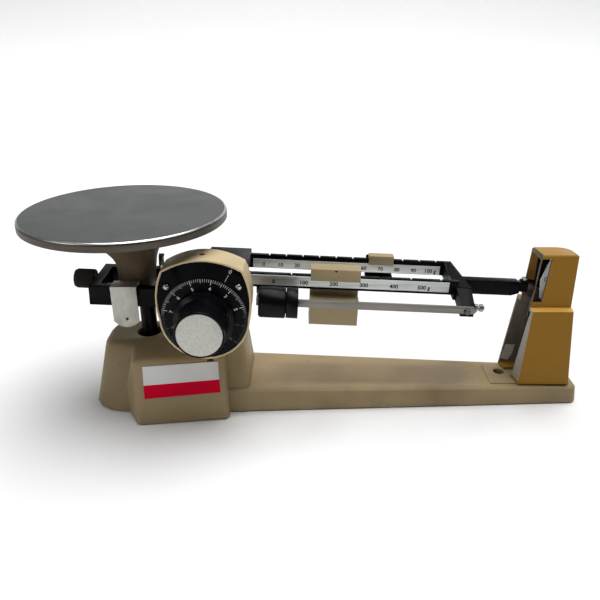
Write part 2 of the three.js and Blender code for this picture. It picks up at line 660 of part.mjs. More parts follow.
function tareBarScrew() {
  const front = TARE.y - TARE.thick / 2 - GAP;
  const head = [[0, front - 1.4], [1.6, front - 1.4], [2.3, front - 0.6], [2.3, front]];
  const profile = [...head, [1.2, front], [1.2, -35.2], [0, -35.2]];
  return turned(profile, TARE.screw, 9.2, 16);
}
onBeam("tare_bar_screw", tareBarScrew(), STEEL);

const hexagon = (r, y, z) => Array.from({ length: 6 }, (_, i) => {
  const angle = (Math.PI * i) / 3;
  return [y + r * Math.cos(angle), z + r * Math.sin(angle)];
});

function balanceNut(u) {
  const { y, w } = BALANCE_STUD;
  return cut(slabX(hexagon(3, y, w), u, u + 2.6), rod("x", 1.5 + GAP, u - 1, u + 4, [y, w], 12));
}

onBeam(
  "balance_stud",
  rod("x", 1.5, BALANCE_STUD.start, BALANCE_STUD.end, [BALANCE_STUD.y, BALANCE_STUD.w], 12),
  STEEL,
);
onBeam("balance_nut_inner", balanceNut(197.2), STEEL);
onBeam("balance_nut_outer", balanceNut(201), STEEL);

function tarePoise() {
  const body = join(
    rod("x", TARE.radius - 0.8, 38.1, 57.8, [TARE.y, TARE.w], 36),
    rod("x", TARE.radius, 39, 57.3, [TARE.y, TARE.w], 36),
  );
  const spigot = rod("x", 8, 57, 60, [TARE.y, TARE.w], 28); // runs in the ring's recess
  const slot = box(30, 70, TARE.y - 1.3, TARE.y + 1.3, TARE.w - 3.3, TARE.w + 3.3);
  return cut(join(body, spigot), slot);
}
onBeam("tare_poise", tarePoise(), BLACK_PLASTIC);

function tarePoiseRing() {
  const flats = Array.from({ length: 12 }, (_, i) => {
    const angle = (2 * Math.PI * (i + 0.5)) / 12;
    return [TARE.y + 11.5 * Math.cos(angle), TARE.w + 11.5 * Math.sin(angle)];
  });
  const recess = rod("x", 8 + GAP, 58, 60 + GAP, [TARE.y, TARE.w], 28);
  return cut(slabX(flats, 58.1, 66.7), recess, rod("x", 3.5, 30, 70, [TARE.y, TARE.w], 20));
}
onBeam("tare_poise_ring", tarePoiseRing(), BLACK_PLASTIC);

// ---- poises ------------------------------------------------------------------------------------

// A poise's slot ends half a millimetre above its bar, and the tooth lies in the slot's roof.
const slotRoof = (bar) => bar.top + 0.5;
const toothRod = (u, y, bar, radius, half) => {
  return rod("y", radius, y - half, y + half, [u, slotRoof(bar) + 0.7], 12);
};

function largePoise() {
  const [u0, u1] = [LARGE_POISE.centre - LARGE_POISE.half, LARGE_POISE.centre + LARGE_POISE.half];
  const saddle = box(u0, u1, -24.5, -12.2, 22.8, 32);
  const web = box(u0, u1, -15.3, -12.2, 7, 24);
  const weight = box(u0 + 0.2, u1, -25.6, -8, -12.4, 8.2);
  const slot = box(u0 - 1, u1 + 1, -21.2, -15.7, 20, slotRoof(FRONT_BAR));
  const notch = FRONT_NOTCH.first + LARGE_POISE.notch * FRONT_NOTCH.pitch;
  return cut(join(saddle, web, weight), slot, toothRod(notch, -BEAM.y, FRONT_BAR, 1.2, 2.4));
}
onBeam("large_poise", largePoise(), TAN);

function smallPoise() {
  const [u0, u1] = [SMALL_POISE.centre - SMALL_POISE.half, SMALL_POISE.centre + SMALL_POISE.half];
  const notch = REAR_NOTCH.first + SMALL_POISE.notch * REAR_NOTCH.pitch;
  const saddle = box(u0, u1, 13.8, 21.8, 22.6, 30);
  const slot = box(u0 - 1, u1 + 1, 15, 20.3, 20, slotRoof(REAR_BAR));
  return cut(saddle, slot, toothRod(notch, BEAM.y, REAR_BAR, 1.2, 2.4));
}
onBeam("small_poise", smallPoise(), TAN);

for (const [name, notches, index, y, bar] of [
  ["large_poise_tooth", FRONT_NOTCH, LARGE_POISE.notch, -BEAM.y, FRONT_BAR],
  ["small_poise_tooth", REAR_NOTCH, SMALL_POISE.notch, BEAM.y, REAR_BAR],
]) {
  const u = notches.first + index * notches.pitch;
  onBeam(name, toothRod(u, y, bar, 0.9, 2.1), STEEL);
}

function smallPoiseHanger() {
  const [u0, u1] = [SMALL_POISE.centre - 11.5, SMALL_POISE.centre + 10.5];
  return join(box(u0, u1, 22.1, 23.3, 9.5, 28), box(u0, u1, 14.4, 22.6, 9.5, 12.2));
}
onBeam("small_poise_hanger", smallPoiseHanger(), BLACK);

// ---- pan, pan support and check link -------------------------------------------------------------

function panPlate() {
  const profile = [
    [0, PLATE_TOP], [PLATE_RADIUS - 2.2, PLATE_TOP], [PLATE_RADIUS - 0.6, PLATE_TOP - 0.6],
    [PLATE_RADIUS, PLATE_TOP - 2.2], [PLATE_RADIUS, PLATE_TOP - 6.7], [PLATE_RADIUS - 1.3, PLATE_TOP - 6.7],
    [PLATE_RADIUS - 1.3, PLATE_TOP - 2.6], [PLATE_RADIUS - 2.6, PLATE_TOP - 1.5], [0, PLATE_TOP - 1.5],
  ];
  const points = profile.map(([r, z]) => new THREE.Vector2(r, z));
  return solid(new THREE.LatheGeometry(points, 72).rotateX(Math.PI / 2));
}
place("pan_plate", panPlate(), STEEL);

// The support is a skewed trumpet: round under the plate, a cup above the hanger.
function panSupport() {
  const ring = (z, x, r, sides = 28) => Array.from({ length: sides }, (_, i) => {
    const angle = (2 * Math.PI * i) / sides;
    return [x + r * Math.cos(angle), r * Math.sin(angle), z];
  });
  const underPlate = PLATE_TOP - 1.5 - GAP;
  const outside = loft([
    ring(98, 4.5, 14.4), ring(106, 4.7, 14.5), ring(115, 5.2, 15.2), ring(121, 4.4, 17), ring(127, 3, 20.6),
    ring(137, 1.4, 26), ring(152, 0, 31), ring(underPlate, 0, 31),
  ]);
  return cut(outside, loft([ring(97, 4.5, 12), ring(116, 5, 12)]));
}
place("pan_support", panSupport(), BROWN);

place("pan_hanger", box(-8.6, 17.4, -16.4, 16.4, LOAD_Z + 0.4, 98 - GAP), BLACK);

// Bent sheet that carries a bearing: over the yoke arm and down its outside.
function bearingCover(side) {
  const half = 9.7;
  const outline = [[-half, 106.2], [-half, 78]];
  for (let i = 1; i < 8; i += 1) {
    const t = i / 8;
    outline.push([-half + 2 * half * t, 78 - 5 * 4 * t * (1 - t)]);
  }
  outline.push([half, 78], [half, 106.2]);
  const span = (a, b) => (side < 0 ? [-b, -a] : [a, b]);
  const face = slabY(outline, ...span(26.2, 27.2));
  const flange = box(-half, half, ...span(14.9, 27.2), 105.2, 106.2);
  const sheet = join(face, flange, box(-8, half, ...span(14.9, 15.9), 98, 106.2));
  return cut(sheet, rod("y", 1.1, ...span(25, 28), [0.6, 80], 12));
}
place("bearing_cover_front", bearingCover(-1), ALUMINIUM);
place("bearing_cover_rear", bearingCover(1), ALUMINIUM);

function panStem() {
  const { x, radius, pivotZ } = STEM;
  const shaft = rod("z", radius, pivotZ + 8, LOAD_Z + 0.4 - GAP, [x, 0], 24);
  const cheeks = [-6, 3.2].map((y) => box(x - 4.4, x + 4.4, y, y + 2.8, pivotZ - 5, pivotZ + 9));
  return cut(join(shaft, ...cheeks), rod("y", 2 + GAP, -7, 7, [x, pivotZ], 16));
}
place("pan_stem", panStem(), BLACK);
place("stem_pin", rod("y", 2, -6.4, 6.4, [STEM.x, STEM.pivotZ], 16), STEEL);
place("check_link_pin", rod("y", 2, -8.6, 8.6, [CHECK_PIVOT.x, CHECK_PIVOT.z], 16), STEEL);

function checkLink() {
  const ends = [[STEM.x, STEM.pivotZ], [CHECK_PIVOT.x, CHECK_PIVOT.z]];
  const half = 2.4;
  const lower = ends.map(([x, z]) => [x, z - half]);
  const upper = ends.map(([x, z]) => [x, z + half]).reverse();
  const bar = slabY([...lower, ...upper], -half, half);
  const eyes = ends.map((at) => rod("y", 4.6, -half, half, at, 20));
  return cut(join(bar, ...eyes), ...ends.map((at) => rod("y", 2.06, -4, 4, at, 16)));
}
place("check_link", checkLink(), STEEL);

// Flat spiral between the dial's spindle and the post on the beam.
function dialSpring() {
  const [inner, outer, turns, band, steps] = [5, 15.2, 4, 0.5, 96];
  const edge = (offset) => Array.from({ length: steps + 1 }, (_, i) => {
    const angle = 2 * Math.PI * turns * (i / steps);
    const r = inner + (outer - inner) * (i / steps) + offset;
    return [FULCRUM.x + r * Math.cos(angle), FULCRUM.z + r * Math.sin(angle)];
  });
  return slabY([...edge(band / 2), ...edge(-band / 2).reverse()], -41, -38);
}
place("dial_spring", dialSpring(), STEEL);

export default root;
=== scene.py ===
"""Looks of a triple beam balance with a dial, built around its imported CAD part."""

import json
import math

import bmesh
import bpy
from mathutils import Matrix, Vector


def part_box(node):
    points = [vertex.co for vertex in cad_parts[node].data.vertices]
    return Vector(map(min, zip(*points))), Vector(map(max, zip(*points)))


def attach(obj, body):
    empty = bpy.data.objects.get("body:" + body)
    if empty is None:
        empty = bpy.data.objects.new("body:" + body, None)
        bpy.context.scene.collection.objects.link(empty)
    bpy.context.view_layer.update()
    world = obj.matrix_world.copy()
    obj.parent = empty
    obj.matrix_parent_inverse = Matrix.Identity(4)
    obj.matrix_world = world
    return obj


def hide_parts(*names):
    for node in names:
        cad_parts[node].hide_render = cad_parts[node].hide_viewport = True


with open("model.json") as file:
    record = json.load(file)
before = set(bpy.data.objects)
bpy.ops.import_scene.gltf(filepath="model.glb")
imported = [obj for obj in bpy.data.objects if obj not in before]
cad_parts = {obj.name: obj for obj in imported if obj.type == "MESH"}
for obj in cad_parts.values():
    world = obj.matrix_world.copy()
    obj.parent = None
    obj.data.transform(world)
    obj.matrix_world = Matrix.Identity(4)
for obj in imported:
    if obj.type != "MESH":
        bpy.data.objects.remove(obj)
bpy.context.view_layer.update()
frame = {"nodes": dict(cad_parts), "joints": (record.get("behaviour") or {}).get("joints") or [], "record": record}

RECORD = frame["record"]
SLOT_OF = {part["node"]: part["material_slot"] for part in RECORD["subparts"]}
BODY_OF = {node: body for body, nodes in RECORD["behaviour"]["bodies"].items() for node in nodes}
JOINTS = {joint["name"]: joint for joint in frame["joints"]}

# ---- frames, all with lengths in millimetres ---------------------------------------------------

MM = 0.001
INK = 0.05  # thickness of all that is printed
SHARP_DEG = 32  # edges that turn by more than this stay hard or are bevelled
PIVOT = Vector(JOINTS["beam_swing"]["pos_m"])  # main knife edge, also the dial's axis
SLIDE = Vector(JOINTS["large_poise_slide"]["axis"])
BEAM_SLOPE = math.atan2(-SLIDE.z, SLIDE.x)
PLATE_LOW, PLATE_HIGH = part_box("pan_plate")
PLATE_X = (PLATE_LOW.x + PLATE_HIGH.x) / 2

TO_MM = Matrix.Scale(MM, 4)
FACING = Matrix.Rotation(math.pi / 2, 4, "X")  # turns X right and Y up towards the reader
TABLE = Matrix.Translation((PLATE_X, 0, 0)) @ TO_MM  # on the table under the plate's centre
BEAM = Matrix.Translation(PIVOT) @ Matrix.Rotation(BEAM_SLOPE, 4, "Y") @ TO_MM
DIAL = Matrix.Translation((PIVOT.x, 0, PIVOT.z)) @ FACING @ TO_MM  # Z runs out along its axis


# ---- procedural materials ----------------------------------------------------------------------


class Finish:
    """A principled material whose inputs are fed by noise in object coordinates."""

    def __init__(self, name, color, roughness, metallic=0.0, specular=0.5):
        self.material = bpy.data.materials.new(name)
        self.material.use_nodes = True
        self.nodes = self.material.node_tree.nodes
        self.links = self.material.node_tree.links
        self.shader = self.nodes["Principled BSDF"]
        self.color = (*color, 1.0)
        self.set("Base Color", self.color)
        self.set("Roughness", roughness)
        self.set("Metallic", metallic)
        self.set("Specular IOR Level", specular)
        self.height = None

    def set(self, socket, value):
        self.shader.inputs[socket].default_value = value

    def position(self, stretch=(1, 1, 1), turn=0.0):
        coordinates = self.nodes.new("ShaderNodeTexCoord")
        mapping = self.nodes.new("ShaderNodeMapping")
        mapping.inputs["Scale"].default_value = stretch
        mapping.inputs["Rotation"].default_value = (0, turn, 0)
        self.links.new(coordinates.outputs["Object"], mapping.inputs["Vector"])
        return mapping.outputs["Vector"]

    def axes(self):
        """The X, Y and Z of a point, in metres."""
        split = self.nodes.new("ShaderNodeSeparateXYZ")
        self.links.new(self.position(), split.inputs["Vector"])
        return split.outputs

    def noise(self, scale, detail=3.0, stretch=(1, 1, 1), turn=0.0, distortion=0.0):
        texture = self.nodes.new("ShaderNodeTexNoise")
        texture.inputs["Scale"].default_value = scale
        texture.inputs["Detail"].default_value = detail
        texture.inputs["Distortion"].default_value = distortion
        self.links.new(self.position(stretch, turn), texture.inputs["Vector"])
        return texture.outputs["Fac"]

    def spread(self, value, from_low, from_high, to_low=0.0, to_high=1.0):
        node = self.nodes.new("ShaderNodeMapRange")
        node.interpolation_type = "SMOOTHSTEP"
        numbers = {"From Min": from_low, "From Max": from_high, "To Min": to_low, "To Max": to_high}
        for socket, number in numbers.items():
            node.inputs[socket].default_value = number
        self.links.new(value, node.inputs["Value"])
        return node.outputs["Result"]

    def product(self, first, second):
        node = self.nodes.new("ShaderNodeMath")
        node.operation = "MULTIPLY"
        self.links.new(first, node.inputs[0])
        self.links.new(second, node.inputs[1])
        return node.outputs["Value"]

    def tint(self, mask, color):
        """Mixes another colour over the base colour where the mask is high."""
        mix = self.nodes.new("ShaderNodeMix")
        mix.data_type = "RGBA"
        base = self.shader.inputs["Base Color"]
        if base.is_linked:
            self.links.new(base.links[0].from_socket, mix.inputs["A"])
        else:
            mix.inputs["A"].default_value = self.color
        mix.inputs["B"].default_value = (*color, 1.0)
        self.links.new(mask, mix.inputs["Factor"])
        self.links.new(mix.outputs["Result"], base)

    def vary(self, socket, value, low, high):
        self.links.new(self.spread(value, 0.25, 0.75, low, high), self.shader.inputs[socket])

    def bump(self, value, distance, strength=1.0):
        """Adds a layer of bump; distance is in millimetres."""
        node = self.nodes.new("ShaderNodeBump")
        node.inputs["Strength"].default_value = strength
        node.inputs["Distance"].default_value = distance * MM
        self.links.new(value, node.inputs["Height"])
        if self.height is not None:
            self.links.new(self.height, node.inputs["Normal"])
        self.height = node.outputs["Normal"]
        self.links.new(self.height, self.shader.inputs["Normal"])


def shade(color, factor, lift=0.0):
    return tuple(min(1, c * factor + lift) for c in color)


def enamel_finish(name, color, dirt, roughness, grime=0.5, specular=0.3):
    """Stoved enamel on a casting: orange peel, broad grubby patches, specks and fine scuffs."""
    paint = Finish(name, color, roughness, specular=specular)
    patches = paint.noise(14, 4, distortion=0.4)
    paint.tint(paint.spread(patches, 0.45, 0.8, 0, grime), dirt)
    specks = paint.noise(420, 2)
    paint.tint(paint.spread(specks, 0.66, 0.74, 0, 0.45 * grime), shade(dirt, 0.5))
    scuffs = paint.noise(60, 5, stretch=(1, 3, 9), turn=0.4)
    paint.tint(paint.spread(scuffs, 0.62, 0.72, 0, 0.25), shade(color, 1.35))
    paint.vary("Roughness", paint.noise(45, 3), roughness - 0.08, roughness + 0.12)
    paint.bump(paint.noise(900, 2), 0.05, 0.35)
    paint.bump(paint.noise(90, 3), 0.25, 0.25)
    return paint


def enamel(*finish):
    return enamel_finish(*finish).material


def base_enamel(color, dirt):
    """Enamel of the base, with painted shade in the bed's trough under the beams."""
    paint = enamel_finish("base_paint", color, dirt, 0.5, 0.75)
    x, y, _ = paint.axes()
    start, end = PLATE_X + 98 * MM, PLATE_X + 280 * MM
    half, fade = 22 * MM, 12 * MM
    # Painted shade: brown darkening over the trough under the beams, broken up by noise.
    trough_shade = paint.spread(paint.noise(22, 4, stretch=(0.5, 1, 1)), 0.3, 0.6, 0.4, 0.85)
    for mask in (
        paint.spread(x, start, start + 2 * fade),
        paint.spread(x, end - 2 * fade, end, 1, 0),
        paint.spread(y, -half, fade - half),
        paint.spread(y, half - fade, half, 1, 0),
    ):
        trough_shade = paint.product(trough_shade, mask)
    paint.tint(trough_shade, (0.19, 0.14, 0.085))
    return paint.material


def moulded(name, color, roughness, specular=0.2):
    """Moulded plastic with a fine grain and faint handling marks."""
    plastic = Finish(name, color, roughness, specular=specular)
    handled = plastic.spread(plastic.noise(30, 4), 0.5, 0.8, 0, 0.5)
    plastic.tint(handled, shade(color, 1.8, 0.002))
    plastic.vary("Roughness", plastic.noise(80, 4), roughness - 0.07, roughness + 0.13)
    plastic.bump(plastic.noise(1500, 2), 0.03, 0.3)
    return plastic.material


def brushed(name, color, roughness, stretch, scratch, stain):
    """Brushed or rolled metal: long fine streaks, smudges and a few scratches."""
    metal = Finish(name, color, roughness, metallic=1.0)
    streaks = metal.noise(1.0, 4, stretch=stretch)
    metal.tint(metal.spread(streaks, 0.35, 0.75, 0, 0.55), shade(color, 0.72))
    smudges = metal.noise(26, 5, distortion=0.8)
    metal.tint(metal.spread(smudges, 0.5, 0.85, 0, stain), shade(color, 0.5))
    scratches = metal.noise(1.0, 2, stretch=tuple(s * 0.6 for s in stretch), turn=0.5)
    metal.tint(metal.spread(scratches, 0.68, 0.74, 0, scratch), shade(color, 1.5))
    metal.vary("Roughness", smudges, roughness - 0.03, roughness + 0.08)
    metal.bump(streaks, 0.02, 0.4)
    return metal.material


def ground_steel(name, color, roughness):
    """Ground or plated small hardware with light stains."""
    steel = Finish(name, color, roughness, metallic=1.0)
    steel.tint(steel.spread(steel.noise(160, 4), 0.5, 0.8, 0, 0.6), shade(color, 0.55))
    steel.vary("Roughness", steel.noise(300, 3), roughness - 0.05, roughness + 0.15)
    steel.bump(steel.noise(1200, 2), 0.01, 0.4)
    return steel.material


def rubber():
    foot = Finish("rubber", (0.02, 0.02, 0.02), 0.8)
    foot.tint(foot.spread(foot.noise(120, 4), 0.5, 0.8, 0, 0.6), (0.07, 0.065, 0.06))
    foot.bump(foot.noise(900, 3), 0.06, 0.5)
    return foot.material


def printed(name, color, dirt, roughness=0.5, specular=0.15):
    """Printed card or ink with slight wear."""
    card = Finish(name, color, roughness, specular=specular)
    card.tint(card.spread(card.noise(60, 3), 0.45, 0.85, 0, 0.3), dirt)
    card.vary("Roughness", card.noise(200, 3), roughness - 0.1, roughness + 0.1)
    card.bump(card.noise(1400, 2), 0.01, 0.3)
    return card.material


def dial_ink():
    """White ink that turns nearly black below the dial's axis, fading back to white just above it."""
    ink = Finish("dial_ink", (0.80, 0.81, 0.80), 0.5)
    # The ink darkens towards the bottom of the dial, below its axis.
    dark_from, dark_to = PIVOT.z + 0.5 * MM, PIVOT.z + 8.5 * MM
    darker_below_axis = ink.spread(ink.axes()["Z"], dark_from, dark_to, 0.93, 0)
    ink.tint(darker_below_axis, (0.02, 0.021, 0.024))
    ink.tint(ink.spread(ink.noise(500, 3), 0.55, 0.75, 0, 0.4), (0.25, 0.25, 0.25))
    return ink.material


def cap_inside():
    """Bare gold inside of the tower's cap, with painted shade, nearly black, behind the window."""
    paint = Finish("cap_inside", (0.30, 0.15, 0.03), 0.5, specular=0.1)
    paint.tint(paint.spread(paint.noise(60, 4), 0.45, 0.8, 0, 0.6), (0.12, 0.06, 0.012))
    # Painted shade: the inside seen through the window, beyond this X, turns blue-black.
    start, edge = PLATE_X + 317.5 * MM, 0.4 * MM
    black = paint.spread(paint.axes()["X"], start - edge, start + edge)
    paint.tint(black, (0.004, 0.006, 0.010))
    paint.bump(paint.noise(900, 2), 0.05, 0.35)
    return paint.material


def make_materials():
    beige, beige_dirt = (0.325, 0.243, 0.127), (0.17, 0.12, 0.06)
    tables = {
        enamel: {  # colour, dirt, roughness, grime, specular
            # The housing's beige, about twice the base's, is painted light from above on its top.
            "dial_housing_paint": ((0.65, 0.51, 0.30), beige_dirt, 0.42, 0.3),
            "support_paint": ((0.09, 0.06, 0.03), (0.03, 0.02, 0.01), 0.5, 0.6),
            "tower_paint": ((0.29, 0.145, 0.016), (0.18, 0.085, 0.01), 0.36, 0.3, 0.1),
            # tower_top is a lighter copy of tower_paint: painted light on the cap's top.
            "tower_top": ((0.36, 0.205, 0.042), (0.20, 0.10, 0.015), 0.36, 0.3, 0.1),
            # tower_ledge is a much lighter copy of tower_paint: painted light on the post's ledge, which the cap
            # shades.
            "tower_ledge": ((0.70, 0.40, 0.085), (0.30, 0.15, 0.03), 0.4, 0.3, 0.1),
            "tower_inside": ((0.19, 0.165, 0.125), (0.05, 0.04, 0.03), 0.6, 0.8),
            "tower_lip": ((0.30, 0.28, 0.23), (0.12, 0.10, 0.07), 0.5, 0.7),
            "cap_lip": ((0.07, 0.06, 0.035), (0.03, 0.025, 0.015), 0.5, 0.5),
            # Painted light: a pale patch on the inner face of the post's rear wall.
            "bare_patch": ((0.52, 0.52, 0.47), (0.30, 0.28, 0.22), 0.5, 0.6),
            "poise_paint": ((0.35, 0.275, 0.15), beige_dirt, 0.5, 0.7),
            "black_paint": ((0.0016, 0.0017, 0.002), (0.008, 0.008, 0.009), 0.34, 0.3, 0.07),
        },
        moulded: {  # colour, roughness, specular
            # The faint blue in these blacks is a painted blue-grey sheen.
            "black_plastic": ((0.0018, 0.0021, 0.0028), 0.28, 0.12),
            "zero_knob": ((0.018, 0.014, 0.008), 0.5),
            "dial_face": ((0.0012, 0.0014, 0.0018), 0.22, 0.05),
            "dial_disc": ((0.0016, 0.002, 0.003), 0.3, 0.08),
        },
        brushed: {  # colour, roughness, how fine along X, Y and Z, scratches, stains
            "knob_cap": ((0.56, 0.555, 0.505), 0.55, (500, 500, 500), 0.05, 0.2),
            "pan_steel": ((0.126, 0.131, 0.129), 0.36, (9, 1100, 1100), 0.1, 0.03),
            # pan_bend is a light copy of the plate's steel: a painted highlight along the bend.
            "pan_bend": ((0.56, 0.56, 0.54), 0.28, (300, 300, 300), 0.1, 0.4),
            # pan_rim is a darker, browner copy of the plate's steel: painted shade on the rim.
            "pan_rim": ((0.10, 0.088, 0.072), 0.4, (60, 60, 500), 0.15, 0.4),
            "aluminium": ((0.22, 0.21, 0.185), 0.42, (14, 700, 900), 0.5, 0.8),
            "bearing_cover": ((0.50, 0.49, 0.44), 0.5, (160, 300, 90), 0.5, 0.6),
            "scale_strip": ((0.84, 0.87, 0.84), 0.6, (20, 500, 900), 0.1, 0.2),
        },
        ground_steel: {  # colour, roughness
            "steel": ((0.40, 0.40, 0.39), 0.32),
            "chrome_screw": ((0.42, 0.42, 0.41), 0.2),
            "dark_steel": ((0.12, 0.115, 0.105), 0.35),
            "magnet": ((0.10, 0.10, 0.10), 0.6),
        },
        printed: {  # colour, dirt, roughness, specular
            "index_white": ((0.88, 0.88, 0.86), (0.6, 0.58, 0.52)),
            "label": ((0.70, 0.70, 0.68), (0.52, 0.50, 0.46), 0.4),
            "label_red": ((0.62, 0.001, 0.024), (0.48, 0.002, 0.02), 0.5, 0.03),
            "ink": ((0.006, 0.006, 0.007), (0.02, 0.02, 0.02)),
            "white_ink": ((0.66, 0.67, 0.65), (0.3, 0.3, 0.3)),
            # hole_shade is painted shade, for the disc in the bearing cover's hole.
            "hole_shade": ((0.02, 0.013, 0.008), (0.05, 0.035, 0.02)),
        },
    }
    materials = {
        "base_paint": base_enamel(beige, beige_dirt),
        "cap_inside": cap_inside(),
        "dial_ink": dial_ink(),
        "rubber": rubber(),
    }
    for make, finishes in tables.items():
        for name, numbers in finishes.items():
            materials[name] = make(name, *numbers)
    return materials


MATERIALS = make_materials()

# ---- mesh helpers ------------------------------------------------------------------------------


def add_piece(name, bm, place, body, slot, replaced=(), material=None, smooth_deg=SHARP_DEG):
    """Makes an object of bm, which is in the millimetre frame place, and hangs it on a body."""
    bmesh.ops.transform(bm, matrix=place, verts=bm.verts)
    bmesh.ops.recalc_face_normals(bm, faces=bm.faces)
    mesh = bpy.data.meshes.new(name)
    bm.to_mesh(mesh)
    bm.free()
    return hang(name, mesh, body, slot, replaced, material, smooth_deg)


def hang(name, mesh, body, slot, replaced, material, smooth_deg, bevel_mm=0.0, segments=2):
    """Shows a mesh on a body; edges that turn by more than smooth_deg stay hard or are bevelled."""
    piece = bpy.data.objects.new(name, mesh)
    bpy.context.scene.collection.objects.link(piece)
    mesh.materials.clear()
    mesh.materials.append(MATERIALS[material or slot])
    mesh.polygons.foreach_set("use_smooth", [True] * len(mesh.polygons))
    if bevel_mm:
        bevel = piece.modifiers.new("edges", "BEVEL")
        bevel.width = bevel_mm * MM
        bevel.segments = segments
        bevel.limit_method = "ANGLE"
        bevel.angle_limit = math.radians(smooth_deg)
        bevel.harden_normals = True
    else:
        mesh.set_sharp_from_angle(angle=math.radians(smooth_deg))
    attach(piece, body)
    if replaced:
        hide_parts(*replaced)
    return piece


def carry(node, bevel_mm, material=None, segments=2, split_at=None):
    """Shows a CAD node, its coplanar triangles merged and its edges rounded.

    split_at is a height where its faces are divided, so that the parts can differ in finish.
    """
    bm = bmesh.new()
    bm.from_mesh(frame["nodes"][node].data)
    bmesh.ops.remove_doubles(bm, verts=bm.verts, dist=2e-6)
    flat = math.radians(0.7)
    bmesh.ops.dissolve_limit(bm, angle_limit=flat, verts=bm.verts, edges=bm.edges)
    if split_at is not None:
        whole = bm.verts[:] + bm.edges[:] + bm.faces[:]
        bmesh.ops.bisect_plane(bm, geom=whole, plane_co=(0, 0, split_at), plane_no=(0, 0, 1))
    mesh = bpy.data.meshes.new(node)
    bm.to_mesh(mesh)
    bm.free()
    name, slot = node + "_shown", SLOT_OF[node]
    return hang(name, mesh, BODY_OF[node], slot, [node], material, SHARP_DEG, bevel_mm, segments)


def skin(rings):
    """Joins rings of equal count into a tube with closed ends; each ring is a list of points."""
    bm = bmesh.new()
    loops = [[bm.verts.new(point) for point in ring] for ring in rings]
    count = len(rings[0])
    for lower, upper in zip(loops, loops[1:]):
        for i in range(count):
            j = (i + 1) % count
            bm.faces.new((lower[i], lower[j], upper[j], upper[i]))
    bm.faces.new(loops[0])
    bm.faces.new(loops[-1])
    return bm


def circle(radius, height, count, centre_x=0, ribs=0, depth=0.0):
    points = []
    for i in range(count):
        angle = 2 * math.pi * i / count
        r = radius - depth * (0.5 - 0.5 * math.cos(ribs * angle))
        points.append((centre_x + r * math.cos(angle), r * math.sin(angle), height))
    return points


def turned(profile, count):
    """A solid of revolution about Z from (radius, height) pairs off the axis."""
    return skin([circle(r, h, count) for r, h in profile])


def plate_of(outline, z0, z1):
    """A flat slab of an outline in X and Y."""
    return skin([[(x, y, z) for x, y in outline] for z in (z0, z1)])


def figures(name, texts, place, body, slot, material, size, bold=0.0):
    """Flat raised figures. texts: (text, matrix in the millimetre frame) pairs."""
    bm = bmesh.new()
    for text, where in texts:
        curve = bpy.data.curves.new("figure", "FONT")
        curve.body = text
        curve.size = size
        curve.extrude = INK / 2
        curve.offset = bold
        curve.align_x = "CENTER"
        curve.align_y = "CENTER"
        curve.resolution_u = 3
        holder = bpy.data.objects.new("figure", curve)
        bpy.context.scene.collection.objects.link(holder)
        bpy.context.view_layer.update()
        depsgraph = bpy.context.evaluated_depsgraph_get()
        mesh = bpy.data.meshes.new_from_object(holder.evaluated_get(depsgraph))
        mesh.transform(where)
        bm.from_mesh(mesh)
        bpy.data.objects.remove(holder)
        bpy.data.curves.remove(curve)
        bpy.data.meshes.remove(mesh)
    bmesh.ops.remove_doubles(bm, verts=bm.verts, dist=1e-4)
    add_piece(name, bm, place, body, slot, material=material)


def at_mm(x, y, z):
    return Matrix.Translation((x, y, z))


# ---- CAD nodes that stay, with their finishes --------------------------------------------------

for node, thing in frame["nodes"].items():
    if not thing.material_slots:
        thing.data.materials.append(None)
    for material_slot in thing.material_slots:
        material_slot.material = MATERIALS[SLOT_OF[node]]

# ---- pan ---------------------------------------------------------------------------------------

PLATE_R = (PLATE_HIGH.x - PLATE_LOW.x) / 2 / MM
PLATE_TOP = PLATE_HIGH.z / MM
PLATE_RIM = PLATE_LOW.z / MM


def pan_plate():
    """Turned-down sheet: ground top, a painted highlight along the bend and painted shade on the rim."""
    sheet, bend = 1.2, 2.4  # its thickness and the outer radius of its bend
    bend_r, bend_z = PLATE_R - bend, PLATE_TOP - bend  # the middle of the bend

    def on_bend(angle, radius):
        return bend_r + radius * math.sin(angle), bend_z + radius * math.cos(angle)

    profile = [(r, PLATE_TOP) for r in (0.5, 12, 26, 40, 54, 66, PLATE_R - 3.0)]
    profile += [on_bend(math.pi / 2 * step / 6, bend) for step in range(7)]
    profile += [
        (PLATE_R, PLATE_RIM + 0.3), (PLATE_R - 0.3, PLATE_RIM), (PLATE_R - sheet + 0.3, PLATE_RIM),
        (PLATE_R - sheet, PLATE_RIM + 0.3), (PLATE_R - sheet, bend_z),
    ]
    profile += [on_bend(math.pi / 2 * (1 - step / 4), bend - sheet) for step in range(1, 5)]
    profile += [(40, PLATE_TOP - sheet), (0.5, PLATE_TOP - sheet)]
    bm = turned(profile, 256)
    plate = add_piece("plate", bm, TABLE, "pan", "pan_steel", ["pan_plate"], smooth_deg=40)
    for material in ("pan_bend", "pan_rim"):
        plate.data.materials.append(MATERIALS[material])
    for face in plate.data.polygons:
        beyond_flat = math.hypot(face.center.x - PLATE_X, face.center.y) / MM > bend_r
        below_bend = face.center.z / MM < bend_z
        # The rim's faces get the painted shade.
        if below_bend or (beyond_flat and face.normal.z < 0.4):
            face.material_index = 2
        # The bend's faces get the painted highlight.
        elif beyond_flat and face.normal.z < 0.95:
            face.material_index = 1


